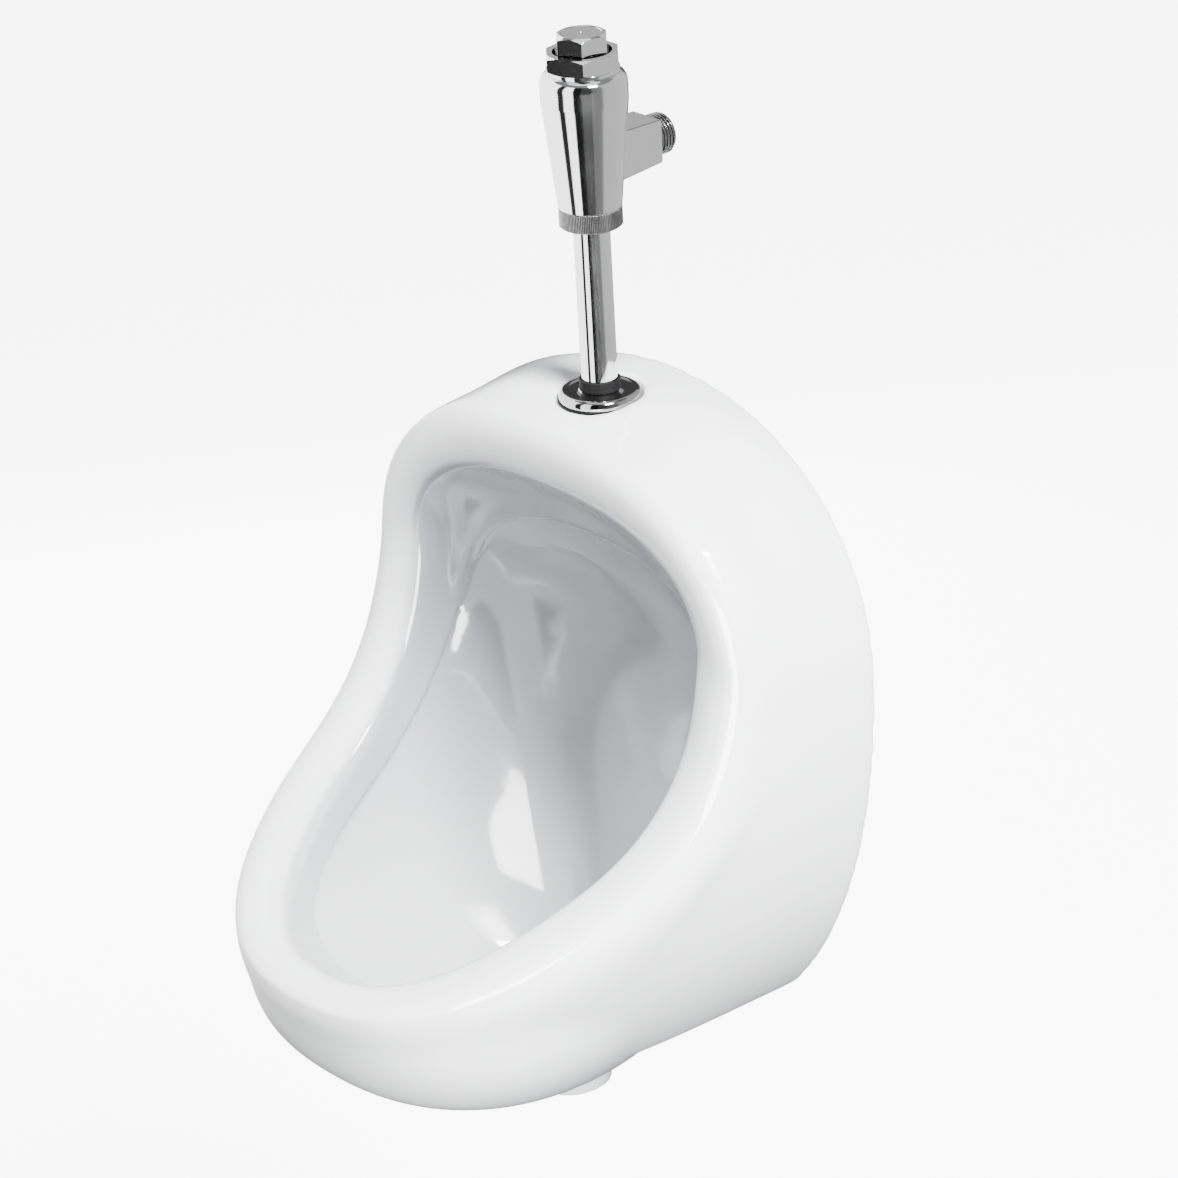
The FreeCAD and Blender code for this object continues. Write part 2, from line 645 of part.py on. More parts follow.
def wall_hook(name, side):
    """Bent wall plate with an arm under the web and a lip in front of it."""
    plate, rise = S.hook_plate, S.hook_rise
    gap = S.web_thickness + S.lip_clearance
    front = gap + plate
    corners = [(0, -S.hook_drop), (0, rise), (-gap, rise), (-gap, rise + S.hook_lip),
               (-front, rise + S.hook_lip), (-front, rise - plate), (-plate, rise - plate),
               (-plate, -S.hook_drop)]
    body = pulled(name, corners, S.hook_width)
    pierced(body, ring_outline(body, name + "_screw", "XZ_Plane", S.hook_screw_bore, (0, 0)), both=True)
    return placed(body, x=S.hook_spacing / 2 * side)


# Waste fitting in the sump
def in_sump(body):
    """Sets a body on the outlet axis with its heights counted from the floor of the basin."""
    return placed(body, y=-S.outlet_depth, z=S.basin_bottom)


def outlet_strainer():
    """Domed edge disc with two circles of holes and a hole for the screw."""
    foot = S.strainer_gasket_height
    top = foot + S.strainer_thickness
    edge, rim = S.strainer_edge, S.strainer_radius
    bore = S.screw_radius + S.screw_clearance
    body = turned("outlet_strainer", [(bore, foot), (rim, foot), (rim, top - edge),
                                      (rim - edge, top), (bore, top)])
    hole = S.strainer_hole
    outer = ring_outline(body, "strainer_outer_holes", "XY_Plane", hole, (S.strainer_outer_circle, 0))
    pierced(body, outer, 12)
    inner = ring_outline(body, "strainer_inner_holes", "XY_Plane", hole, (S.strainer_inner_circle, 0))
    pierced(body, inner, 6)
    return in_sump(body)


def strainer_gasket():
    return in_sump(turned("strainer_gasket", tube(S.strainer_gasket_bore, S.strainer_radius, 0,
                                                  S.strainer_gasket_height)))


def strainer_screw():
    """Screw from the strainer down through the bridge."""
    seat = S.strainer_gasket_height + S.strainer_thickness
    head, shank = S.screw_head_radius, S.screw_radius
    tip = -S.ledge_thickness - S.bridge_thickness - S.screw_end
    top = seat + S.screw_head_height
    return in_sump(turned("strainer_screw", [(0, tip), (shank, tip), (shank, seat), (head, seat),
                                             (head, top - S.strainer_edge), (head - S.strainer_edge, top),
                                             (0, top)]))


def strainer_bridge():
    """Bar across the outlet that the screw pulls up against the ledge."""
    top = -S.ledge_thickness
    foot = top - S.bridge_thickness
    bar = pulled("bridge_bar", [(-S.spigot_bore, foot), (S.spigot_bore, foot),
                                (S.spigot_bore, top), (-S.spigot_bore, top)], S.bridge_width)
    room = turned("bridge_room", tube(S.screw_radius, S.spigot_bore - S.seat_clearance, foot, top))
    return shared("strainer_bridge", in_sump(bar), in_sump(room))


# Inlet of the ceramic
def inlet_seal():
    """Rubber sleeve in the ceramic, with an inner lip that the pipe stands on."""
    outer = S.inlet_bore - S.seat_clearance
    bore = S.pipe_bore
    foot = -S.inlet_bore_depth
    step = foot + S.inlet_seal_lip
    inner = S.pipe_radius - S.pipe_wall
    return on_axis(turned("inlet_seal", [(inner, foot), (outer, foot), (outer, 0), (bore, 0),
                                         (bore, step), (inner, step)]))


def inlet_gasket():
    return on_axis(turned("inlet_gasket", tube(S.pipe_bore, S.gasket_radius, 0,
                                               S.gasket_thickness)))


def inlet_rosette():
    """Cover flange with a bevelled edge, a sloped top, a neck and a recess for its gasket."""
    bore = S.pipe_bore
    rim, neck, edge = S.rosette_radius, S.neck_radius, S.rosette_edge
    recess = S.gasket_radius + S.seat_clearance
    height, gasket = S.rosette_height, S.gasket_thickness
    return on_axis(turned("inlet_rosette", [
        (bore, gasket), (recess, gasket), (recess, 0), (rim, 0), (rim, height - edge),
        (rim - edge, height), (neck, height + S.rosette_rise), (neck, S.neck_top), (bore, S.neck_top)]))


def pipe_seal_ring():
    bore, rim, edge = S.pipe_bore, S.seal_ring_radius, S.seal_ring_edge
    foot = S.neck_top
    top = foot + S.seal_ring_height
    return on_axis(turned("pipe_seal_ring", [(bore, foot), (rim - edge, foot), (rim, foot + edge),
                                             (rim, top - edge), (rim - edge, top), (bore, top)]))


def flush_pipe():
    foot = S.inlet_seal_lip - S.inlet_bore_depth
    return on_axis(turned("flush_pipe", tube(S.pipe_radius - S.pipe_wall, S.pipe_radius, foot, S.pipe_top)))


# Coupling between pipe and valve
def coupling_nut():
    """Union ring with a floor under its seal and fine upright notches around it."""
    top, rim, edge = S.valve_foot, S.coupling_radius, S.coupling_edge
    foot = top - S.coupling_height
    floor = foot + S.coupling_floor
    bore, thread = S.pipe_bore, S.coupling_thread
    body = turned("coupling_nut", [(bore, foot), (rim - edge, foot), (rim, foot + edge),
                                   (rim, top - edge), (rim - edge, top), (thread, top),
                                   (thread, floor), (bore, floor)])
    notch = outline(body, "knurl_notch", "XY_Plane", [
        (rim - S.knurl_depth, 0), (rim + S.knurl_depth, S.knurl_width),
        (rim + S.knurl_depth, -S.knurl_width)])
    return on_axis(pierced(body, notch, 48))


def coupling_seal():
    top = S.valve_foot - S.nozzle_height
    return on_axis(turned("coupling_seal", tube(
        S.pipe_bore, S.coupling_thread - S.seat_clearance,
        top - S.coupling_seal_height, top)))


# Valve body
def valve_shell():
    """Outer form: a nozzle for the coupling, a cone, a belt and a rounded top."""
    foot, belt, top = S.valve_foot, S.body_belt_radius, S.body_top
    round_off = S.shoulder_round
    nozzle = S.coupling_thread - S.seat_clearance
    arc_shares = ((1, 0), (0.93, 0.38), (0.71, 0.71), (0.38, 0.93), (0, 1))
    shoulder = [(belt - round_off + round_off * across, S.belt_end + (top - S.belt_end) * up)
                for across, up in arc_shares]
    return on_axis(turned("valve_shell", [
        (0, foot - S.nozzle_height), (nozzle, foot - S.nozzle_height), (nozzle, foot),
        (S.body_foot_radius, foot), (belt, S.belt_start)] + shoulder + [(0, top)]))


def inlet_arm():
    """Square arm with a level top and a bottom that rises to the wall."""
    top = S.arm_top
    body = pulled("inlet_arm", [(-S.axis_depth, S.arm_foot_inner), (-S.arm_end, S.arm_foot_outer),
                                (-S.arm_end, top), (-S.axis_depth, top)], S.arm_width)
    doc.recompute()
    pad = body.Tip
    long_edges = []
    for place, edge in enumerate(pad.Shape.Edges, 1):
        reach = edge.Vertexes[1].Point - edge.Vertexes[0].Point
        if abs(reach.y) > abs(reach.x) + abs(reach.z):
            long_edges.append("Edge%d" % place)
    fillet = body.newObject("PartDesign::Fillet", "inlet_arm_rounds")
    fillet.Base = (pad, long_edges)
    fillet.setExpression("Radius", S.arm_round.words)
    body.Tip = fillet
    return placed(body, z=S.deck_height)


def threaded_end():
    """Short thread of the inlet, cut as even grooves."""
    crest, root = S.inlet_radius, S.inlet_radius - S.thread_cut
    start, end, pitch = -S.arm_end - S.arm_round, S.inlet_overhang, S.thread_pitch
    first_share, half_share = 0.55, 0.4
    corners = [(0, start), (crest, start)]
    for turn in range(5):
        middle = pitch * (turn + first_share) - S.arm_end
        corners += [(crest, middle - pitch * half_share), (root, middle),
                    (crest, middle + pitch * half_share)]
    corners += [(crest, end), (0, end)]
    return along_inlet(turned("threaded_end", corners))


def valve_body():
    """Valve body with its socket for the pipe, its chamber and the inlet."""
    over = S.overrun
    socket = S.pipe_bore
    core = on_axis(turned("valve_core", [
        (0, S.valve_foot - over), (socket, S.valve_foot - over), (socket, S.socket_top),
        (S.throat_bore, S.socket_top), (S.throat_bore, S.chamber_foot),
        (S.chamber_radius, S.chamber_foot), (S.chamber_radius, S.thread_foot),
        (S.bonnet_thread, S.thread_foot), (S.bonnet_thread, S.body_top + over),
        (0, S.body_top + over)]))
    inlet = along_inlet(turned("inlet_waterway", rod(S.inlet_bore_radius, -S.axis_depth,
                                                     S.inlet_overhang + over)))
    shell = joined("valve_block", [valve_shell(), inlet_arm(), threaded_end()])
    return cut_from("valve_body", shell, joined("valve_waterways", [core, inlet]))


def inlet_filter():
    """Thin pierced disc in the mouth of the inlet."""
    rim = S.inlet_bore_radius - S.seat_clearance
    top = S.inlet_overhang
    circle_share = 0.6
    body = turned("inlet_filter", rod(rim, top - S.filter_thickness, top))
    pierced(body, ring_outline(body, "filter_middle", "XY_Plane", S.filter_hole, (0, 0)), both=True)
    pierced(body, ring_outline(body, "filter_holes", "XY_Plane", S.filter_hole, (rim * circle_share, 0)), 6,
            both=True)
    return along_inlet(body)


# Cartridge
def cartridge_sleeve():
    """Sleeve with a flanged foot, a pierced floor and four windows."""
    foot, top, bore = S.sleeve_foot, S.sleeve_top, S.sleeve_bore
    floor = S.sleeve_floor
    body = turned("cartridge_sleeve", [
        (S.sleeve_floor_bore, foot), (S.sleeve_flange_radius, foot), (S.sleeve_flange_radius, floor),
        (S.sleeve_radius, floor), (S.sleeve_radius, top), (bore, top), (bore, floor),
        (S.sleeve_floor_bore, floor)])
    half, sill = S.window_width / 2, S.window_foot
    head = sill + S.window_height
    window = outline(body, "sleeve_window", "XZ_Plane", [(-half, sill), (half, sill), (half, head),
                                                         (-half, head)])
    return on_axis(pierced(body, window, 4))


def sleeve_seal():
    top = S.sleeve_foot - S.sleeve_gap
    return on_axis(turned("sleeve_seal", tube(S.sleeve_seal_bore, S.sleeve_flange_radius - S.sleeve_gap,
                                              top - S.sleeve_seal_height, top)))


def valve_spool():
    """Spool with two ring grooves, a waist and a bore that opens into the waist."""
    land, floor, height = S.spool_land, S.groove_floor, S.groove_height
    corners = [(S.spool_bore, S.spool_foot), (land, S.spool_foot)]
    for foot in (S.lower_groove, S.upper_groove):
        corners += [(land, foot), (floor, foot), (floor, foot + height), (land, foot + height)]
    waist_top = S.waist_foot + S.waist_height
    corners += [(land, S.waist_foot), (S.spool_waist, S.waist_foot), (S.spool_waist, waist_top),
                (land, waist_top), (land, S.spool_top), (0, S.spool_top), (0, S.spool_bore_top),
                (S.spool_bore, S.spool_bore_top)]
    body = turned("valve_spool", corners)
    middle = S.waist_foot + S.waist_height / 2
    pierced(body, ring_outline(body, "spool_cross_bores", "XZ_Plane", S.cross_bore, (0, middle)), 4)
    return on_axis(body)


def spool_ring(name, groove):
    """Rubber ring in one groove of the spool."""
    section = S.spool_ring_section
    ring = primitive("Torus", name, Radius1=S.groove_floor + section + S.sleeve_gap, Radius2=section)
    return placed(ring, y=-S.axis_depth, z=S.deck_height + groove + S.groove_height / 2)


def stem_ring():
    """Rubber ring that seals the stem in the bonnet."""
    section = S.stem_ring_section
    ring = primitive("Torus", "stem_ring", Radius1=S.stem_radius + S.slide_clearance + section,
                     Radius2=section)
    return placed(ring, y=-S.axis_depth,
                  z=S.deck_height + S.stem_groove_foot + S.stem_groove_height / 2)


# Bonnet and button
def bonnet_nut():
    """Hexagon nut with its thread, a floor that guides the stem and a recess for the button."""
    corner, bevel, top = S.bonnet_corner_radius, S.bonnet_bevel, S.bonnet_top
    thread = S.bonnet_thread - S.seat_clearance
    seat = S.thread_foot + S.seat_clearance
    form = on_axis(turned("bonnet_form", [
        (0, S.bonnet_hex_foot), (corner, S.bonnet_hex_foot), (corner, top - bevel / 2),
        (corner - bevel, top), (0, top)]))
    head = shared("bonnet_hexagon", hexagon("bonnet_bar", corner, S.bonnet_hex_foot, top), form)
    shank = on_axis(turned("bonnet_shank", [
        (0, S.sleeve_top), (S.bonnet_foot_radius, S.sleeve_top), (S.bonnet_foot_radius, seat),
        (thread, seat), (thread, S.bonnet_hex_foot), (0, S.bonnet_hex_foot)]))
    guide = S.stem_radius + S.slide_clearance
    groove, groove_top = S.stem_groove_radius, S.stem_groove_foot + S.stem_groove_height
    core = on_axis(turned("bonnet_core", [
        (0, S.sleeve_top - S.overrun), (S.bonnet_cavity, S.sleeve_top - S.overrun),
        (S.bonnet_cavity, S.bonnet_floor), (guide, S.bonnet_floor), (guide, S.stem_groove_foot),
        (groove, S.stem_groove_foot), (groove, groove_top), (guide, groove_top),
        (guide, S.bonnet_recess_foot), (S.bonnet_recess, S.bonnet_recess_foot),
        (S.bonnet_recess, top + S.overrun), (0, top + S.overrun)]))
    return cut_from("bonnet_nut", joined("bonnet_block", [head, shank]), core)


def bonnet_ring():
    return on_axis(turned("bonnet_ring", tube(S.bonnet_thread, S.bonnet_ring_radius, S.body_top,
                                              S.bonnet_hex_foot)))


def button_stem():
    """Stem from the spool up into the button, with the collar that stops it under the bonnet."""
    stem, collar = S.stem_radius, S.stem_collar_radius
    stop = S.bonnet_floor - S.slide_clearance
    return on_axis(turned("button_stem", [
        (0, S.stem_foot), (stem, S.stem_foot), (stem, stop - S.stem_collar_height),
        (collar, stop - S.stem_collar_height), (collar, stop), (stem, stop),
        (stem, S.cap_top - S.cap_roof), (0, S.cap_top - S.cap_roof)]))


def push_button():
    """Six sided cap with a bevelled round top, hollow below, with a socket for the stem."""
    corner, top, foot = S.cap_corner_radius, S.cap_top, S.cap_foot
    roof = top - S.cap_roof
    form = on_axis(turned("button_form", [(0, foot), (corner, foot), (corner, top - S.cap_edge),
                                          (S.cap_top_radius, top), (0, top)]))
    block = shared("button_block", hexagon("button_bar", corner, foot, top), form)
    room = on_axis(turned("button_room", [
        (0, foot - S.overrun), (S.cap_cavity, foot - S.overrun), (S.cap_cavity, roof),
        (S.cap_boss_radius, roof), (S.cap_boss_radius, S.cap_boss_foot),
        (S.stem_radius, S.cap_boss_foot), (S.stem_radius, roof), (0, roof)]))
    return cut_from("push_button", block, room)


NODES = [
    casting(), wall_hook("wall_hook_left", -1), wall_hook("wall_hook_right", 1),
    strainer_gasket(), outlet_strainer(), strainer_screw(), strainer_bridge(),
    inlet_seal(), inlet_gasket(), inlet_rosette(), pipe_seal_ring(), flush_pipe(),
    coupling_nut(), coupling_seal(), valve_body(), inlet_filter(),
    cartridge_sleeve(), sleeve_seal(), valve_spool(),
    spool_ring("spool_ring_lower", S.lower_groove), spool_ring("spool_ring_upper", S.upper_groove),
    coil("return_spring", S.return_radius, S.return_wire, S.return_turns,
         S.sleeve_floor, S.spool_foot),
    bonnet_nut(), bonnet_ring(), stem_ring(), button_stem(),
    coil("button_spring", S.button_coil_radius, S.button_wire, S.button_turns,
         S.bonnet_recess_foot, S.cap_top - S.cap_roof),
    push_button(),
]
doc.recompute()

for item in doc.Objects:
    if "Invalid" in item.State or "Error" in item.State:
        raise RuntimeError("%s did not recompute: %s" % (item.Name, item.State))

for node in NODES:
    node.Label = node.Name
    shape = node.Shape
    if shape.isNull() or not shape.isValid() or len(shape.Solids) != 1:
        raise RuntimeError("%s is not one sound solid" % node.Name)
    shape.exportStep("parts/%s.step" % node.Label)
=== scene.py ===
import math
import bmesh
import bpy
from mathutils import Matrix, Vector


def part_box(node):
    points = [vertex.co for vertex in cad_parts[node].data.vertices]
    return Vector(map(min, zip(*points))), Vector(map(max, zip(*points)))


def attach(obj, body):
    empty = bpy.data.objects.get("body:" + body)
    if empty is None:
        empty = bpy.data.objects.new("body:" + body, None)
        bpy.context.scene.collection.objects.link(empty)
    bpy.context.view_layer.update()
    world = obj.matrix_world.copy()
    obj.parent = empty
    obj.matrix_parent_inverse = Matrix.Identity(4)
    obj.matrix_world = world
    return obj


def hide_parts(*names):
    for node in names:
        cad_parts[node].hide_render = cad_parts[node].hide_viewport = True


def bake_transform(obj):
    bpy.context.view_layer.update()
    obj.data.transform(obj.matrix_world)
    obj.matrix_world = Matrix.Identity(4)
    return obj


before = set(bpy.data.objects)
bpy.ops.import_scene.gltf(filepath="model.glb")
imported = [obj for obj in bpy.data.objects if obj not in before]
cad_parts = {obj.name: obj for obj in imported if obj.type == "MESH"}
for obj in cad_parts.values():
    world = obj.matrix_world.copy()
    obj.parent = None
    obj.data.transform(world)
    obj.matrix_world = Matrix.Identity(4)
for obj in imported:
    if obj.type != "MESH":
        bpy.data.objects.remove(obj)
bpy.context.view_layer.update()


# Wall hooks: two bent steel plates, zinc plated, screwed to the wall. The casting drops onto
# their arms, and the lips in front of its web keep it from tipping forward.
class Flow:
    """A value on its way between the nodes of a finish; sums on it add the nodes they need."""

    def __init__(self, finish, socket):
        self.finish, self.socket = finish, socket

    def worked(self, operation, *values):
        """Result of a sum on values."""
        return self.finish.node("ShaderNodeMath", {"operation": operation}, dict(enumerate(values)))

    def __add__(self, other):
        return self.worked("ADD", self, other)

    def __sub__(self, other):
        return self.worked("SUBTRACT", self, other)

    def __rsub__(self, other):
        return self.worked("SUBTRACT", other, self)

    def __mul__(self, other):
        return self.worked("MULTIPLY", self, other)

    def __truediv__(self, other):
        return self.worked("DIVIDE", self, other)

    def __rtruediv__(self, other):
        return self.worked("DIVIDE", other, self)

    def __pow__(self, other):
        return self.worked("POWER", self, other)

    __radd__ = __add__
    __rmul__ = __mul__


class Finish:
    """Surface of one material, with the nodes that vary it over the piece."""

    def __init__(self, name, colour, roughness, **fixed):
        self.material = bpy.data.materials.new(name)
        self.material.use_nodes = True
        self.tree = self.material.node_tree
        self.shader = self.tree.nodes["Principled BSDF"]
        self.shader.inputs["Base Color"].default_value = (*colour, 1)
        self.shader.inputs["Roughness"].default_value = roughness
        for socket, value in fixed.items():
            self.shader.inputs[socket.replace("_", " ")].default_value = value

    def node(self, kind, settings, sockets, output=0):
        """New node with its settings and what goes into it; gives what comes out of it."""
        made = self.tree.nodes.new(kind)
        for setting, value in settings.items():
            if setting == "stops":
                for place, _ in value[2:]:
                    made.color_ramp.elements.new(place)
                for stop, (place, shade) in zip(made.color_ramp.elements, value):
                    stop.position, stop.color = place, (*shade, 1)
            else:
                setattr(made, setting, value)
        for socket, value in sockets.items():
            self.feed(made.inputs[socket], value)
        return Flow(self, made.outputs[output])

    def feed(self, socket, value):
        """Links a flow to a socket, or sets the socket to a plain value."""
        if isinstance(value, Flow):
            self.tree.links.new(value.socket, socket)
        else:
            socket.default_value = value

    def vary(self, socket, value):
        """Gives the surface a property that varies."""
        self.feed(self.shader.inputs[socket], value)

    def place(self, stretch=(1, 1, 1)):
        """Place on the piece, stretched along its axes."""
        spot = self.node("ShaderNodeTexCoord", {}, {}, "Object")
        return self.node("ShaderNodeMapping", {}, {"Vector": spot, "Scale": stretch})

    def cloud(self, scale, detail=3.0, spot=None):
        """Soft noise between 0 and 1 over the piece."""
        return self.node("ShaderNodeTexNoise", {}, {"Vector": spot or self.place(), "Scale": scale,
                                                    "Detail": detail})

    def blend(self, share, first, second):
        """Colour between two colours, each plain or worked out."""
        first, second = (shade if isinstance(shade, Flow) else (*shade, 1)
                         for shade in (first, second))
        return self.node("ShaderNodeMix", {"data_type": "RGBA"}, {0: share, 6: first, 7: second}, 2)

    def relief(self, height, strength, depth):
        """Fine relief of a depth in metres."""
        bump = self.node("ShaderNodeBump", {}, {"Height": height, "Strength": strength,
                                                "Distance": depth})
        self.vary("Normal", bump)


def dress(nodes, finish):
    """Gives CAD pieces their finish."""
    for node in nodes:
        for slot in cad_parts[node].material_slots:
            slot.material = finish.material


zinc = Finish("zinc_plate", (0.62, 0.64, 0.66), 0.38, Metallic=1.0)
spangle = zinc.cloud(420, 2)
zinc.vary("Base Color", zinc.blend(spangle, (0.5, 0.53, 0.55), (0.74, 0.75, 0.73)))
zinc.vary("Roughness", 0.28 + 0.25 * spangle)
zinc.relief(zinc.cloud(1400), 0.15, 0.0002)
dress(["wall_hook_left", "wall_hook_right"], zinc)


# Bowl: one slip-cast body of vitreous china with a thick clear white glaze that rounds every
# edge. The casting is taken over whole and its edges are softened as the glaze softens them.
def step_between(value, low, high):
    """0 below one value, 1 above the other and a smooth rise between them."""
    share = min(max((value - low) / (high - low), 0), 1)
    return share * share * (3 - 2 * share)


MERGE_DISTANCE, LEAST_WEIGHT = 0.00001, 0.01


def joined_copy(name, node):
    """Copy of a CAD piece whose faces share their corners."""
    piece = bpy.data.objects.new(name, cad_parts[node].data.copy())
    bpy.context.scene.collection.objects.link(piece)
    bm = bmesh.new()
    bm.from_mesh(piece.data)
    bmesh.ops.remove_doubles(bm, verts=bm.verts, dist=MERGE_DISTANCE)
    bmesh.ops.recalc_face_normals(bm, faces=bm.faces)
    bm.to_mesh(piece.data)
    bm.free()
    return piece


def bake(piece):
    """Keeps the shape that the modifiers of a piece give it, and takes them off."""
    shape = bpy.data.meshes.new_from_object(
        piece.evaluated_get(bpy.context.evaluated_depsgraph_get()))
    piece.modifiers.clear()
    piece.data = shape


def softened(name, node, grain, passes, share, fillet_share, fillet_passes):
    """Copy of a CAD piece with an even skin and rounded edges, thinned to a share of its faces."""
    piece = joined_copy(name, node)
    skin = piece.modifiers.new("skin", "REMESH")
    skin.mode, skin.voxel_size = "VOXEL", grain
    ease = piece.modifiers.new("ease", "SMOOTH")
    ease.iterations = passes
    bake(piece)
    filled = piece.vertex_groups.new(name="filled")
    for vert in piece.data.vertices:
        weight = fillet_share(vert.co, vert.normal)
        if weight > LEAST_WEIGHT:
            filled.add([vert.index], weight, "REPLACE")
    fill = piece.modifiers.new("fill", "SMOOTH")
    fill.iterations, fill.vertex_group = fillet_passes, "filled"
    thin = piece.modifiers.new("thin", "DECIMATE")
    thin.ratio = share
    bake(piece)
    piece.vertex_groups.clear()
    piece.data.shade_smooth()
    return piece


# Middle of the basin and, from none to all, how squarely a place looks away from it or down and
# how far in front of the wall it lies
BASIN_MIDDLE = Vector((0, -0.12, -0.14))
OUTWARD, DOWNWARD, IN_FRONT = (0.25, 0.5), (-0.55, -0.15), (0.1, 0.15)


def under_rim(spot, normal):
    """How far a place lies on the outside of the bowl below the front of the rim."""
    outward = (spot - BASIN_MIDDLE).normalized().dot(normal)
    return (step_between(outward, *OUTWARD) * step_between(-spot.y, *IN_FRONT)
            * step_between(-normal.z, *DOWNWARD))


# The same for a place that looks to the middle, the heights between which its painted shade grows
# and the share of it that is left low in the basin
INWARD, PAINTED_SHADE_HEIGHTS, LOW_PAINTED_SHADE = (0, 0.75), (-0.22, -0.05), 0.45


def painted_shade_in_opening(spot, normal):
    """How much painted shade a place inside the opening takes, where less light comes, most so at
    its top.
    """
    inward = (BASIN_MIDDLE - spot).normalized().dot(normal)
    painted_shade_share = LOW_PAINTED_SHADE + (1 - LOW_PAINTED_SHADE) * step_between(spot.z, *PAINTED_SHADE_HEIGHTS)
    return step_between(inward, *INWARD) * painted_shade_share


def marked(piece, name, share):
    """Writes a share between 0 and 1 on every vertex of a piece."""
    marks = piece.data.attributes.new(name, "FLOAT", "POINT")
    marks.data.foreach_set("value", [share(vert.co, vert.normal) for vert in piece.data.vertices])


glaze = Finish("white_glaze", (0.78, 0.79, 0.81), 0.08, IOR=1.52, Coat_Weight=0.4,
               Coat_Roughness=0.03)
pooling = glaze.cloud(9, 2)
sheltered = glaze.node("ShaderNodeAttribute", {"attribute_name": "sheltered"}, {}, "Fac")
open_glaze = glaze.blend(pooling, (0.76, 0.775, 0.80), (0.80, 0.805, 0.815))
# Painted shade: inside the opening the glaze colour goes darker and greyer where less light reaches
glaze.vary("Base Color", glaze.blend(sheltered, open_glaze, (0.17, 0.172, 0.188)))
glaze.vary("Roughness", 0.06 + 0.07 * glaze.cloud(30, 4))
glaze.relief(glaze.cloud(60, 2), 0.05, 0.002)
bowl = softened("glazed_bowl", "ceramic_bowl", grain=0.0016, passes=9, share=0.36,
                fillet_share=under_rim, fillet_passes=240)
# Painted shade of the basin, written on every vertex of the bowl
marked(bowl, "sheltered", painted_shade_in_opening)
bowl.data.materials.clear()
bowl.data.materials.append(glaze.material)
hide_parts("ceramic_bowl")
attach(bowl, "urinal")


# Waste fitting: a pierced stainless disc on a rubber ring, pulled down by one screw against a
# brass bar under the ledge of the outlet.
stainless = Finish("brushed_stainless", (0.62, 0.62, 0.61), 0.3, Metallic=1.0)
brushing = stainless.cloud(900, 2, stainless.place((1, 0.04, 1)))
stainless.vary("Base Color", stainless.blend(brushing, (0.52, 0.52, 0.52), (0.70, 0.70, 0.69)))
stainless.vary("Roughness", 0.2 + 0.22 * brushing)
stainless.relief(brushing, 0.1, 0.0001)
dress(["outlet_strainer", "strainer_screw", "inlet_filter"], stainless)

brass = Finish("turned_brass", (0.72, 0.55, 0.28), 0.25, Metallic=1.0)
turning = brass.cloud(1500, 2, brass.place((0.05, 0.05, 1)))
brass.vary("Base Color", brass.blend(brass.cloud(120), (0.62, 0.45, 0.2), (0.80, 0.64, 0.36)))
brass.vary("Roughness", 0.2 + 0.2 * turning)
brass.relief(turning, 0.12, 0.0001)
dress(["strainer_bridge", "button_stem", "valve_spool"], brass)

rubber = Finish("black_rubber", (0.004, 0.004, 0.0042), 0.55, Specular_IOR_Level=0.08)
bloom = rubber.cloud(160, 4)
rubber.vary("Base Color", rubber.blend(bloom, (0.002, 0.002, 0.0022), (0.008, 0.008, 0.0085)))
rubber.vary("Roughness", 0.42 + 0.3 * bloom)
rubber.relief(rubber.cloud(1800, 2), 0.2, 0.0002)
dress(["strainer_gasket", "inlet_seal", "coupling_seal", "sleeve_seal", "stem_ring",
       "spool_ring_lower", "spool_ring_upper"], rubber)


# Inlet rosette: pressed brass flange with a drawn neck, bright chrome plated, that covers the
# hole in the crown and centres the pipe.
AXIS = sum(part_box("inlet_rosette"), Vector()) / 2
AXIS.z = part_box("inlet_rosette")[0].z
MILLIMETRES = 1000


def heights(node):
    """Foot and top of a CAD piece in millimetres above the crown."""
    return [round((corner.z - AXIS.z) * MILLIMETRES, 3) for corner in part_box(node)]


def spun(profile, steps=128, rounding=0.0):
    """Shape turned about an upright line from corners: radius and height in millimetres."""
    bm = bmesh.new()
    corners = [bm.verts.new((radius / MILLIMETRES, 0, height / MILLIMETRES))
               for radius, height in profile]
    closed = profile[0][0] > 0
    edges = [bm.edges.new(pair) for pair in zip(corners, corners[1:])]
    if closed:
        edges.append(bm.edges.new((corners[-1], corners[0])))
    bmesh.ops.spin(bm, geom=corners + edges, cent=(0, 0, 0), axis=(0, 0, 1), dvec=(0, 0, 0),
                   angle=math.tau, steps=steps, use_merge=True)
    bmesh.ops.remove_doubles(bm, verts=bm.verts, dist=MERGE_DISTANCE / 10)
    bmesh.ops.recalc_face_normals(bm, faces=bm.faces)
    if rounding:
        ease_edges(bm, rounding)
    return bm


def bevel_edges(bm, edges, rounding, segments):
    """Rounds edges by a width in millimetres."""
    bmesh.ops.bevel(bm, geom=edges, offset=rounding / MILLIMETRES, offset_type="OFFSET",
                    affect="EDGES", segments=segments, profile=0.5, material=-1,
                    clamp_overlap=True)


def ease_edges(bm, rounding, angle=math.radians(25)):
    """Rounds the sharp edges by a width in millimetres."""
    sharp = [edge for edge in bm.edges if edge.is_manifold and edge.calc_face_angle() > angle]
    bevel_edges(bm, sharp, rounding, 3)


def settled(name, bm, finish, body, nodes, at=AXIS):
    """Finished piece from its mesh, set on its place and tied to its CAD pieces."""
    bmesh.ops.translate(bm, vec=at, verts=bm.verts)
    mesh = bpy.data.meshes.new(name)
    bm.to_mesh(mesh)
    bm.free()
    for polygon in mesh.polygons:
        polygon.use_smooth = True
    piece = bpy.data.objects.new(name, mesh)
    bpy.context.scene.collection.objects.link(piece)
    mesh.materials.append(finish.material)
    even = piece.modifiers.new("even", "WEIGHTED_NORMAL")
    even.keep_sharp = True
    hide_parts(*nodes)
    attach(piece, body)
    return piece


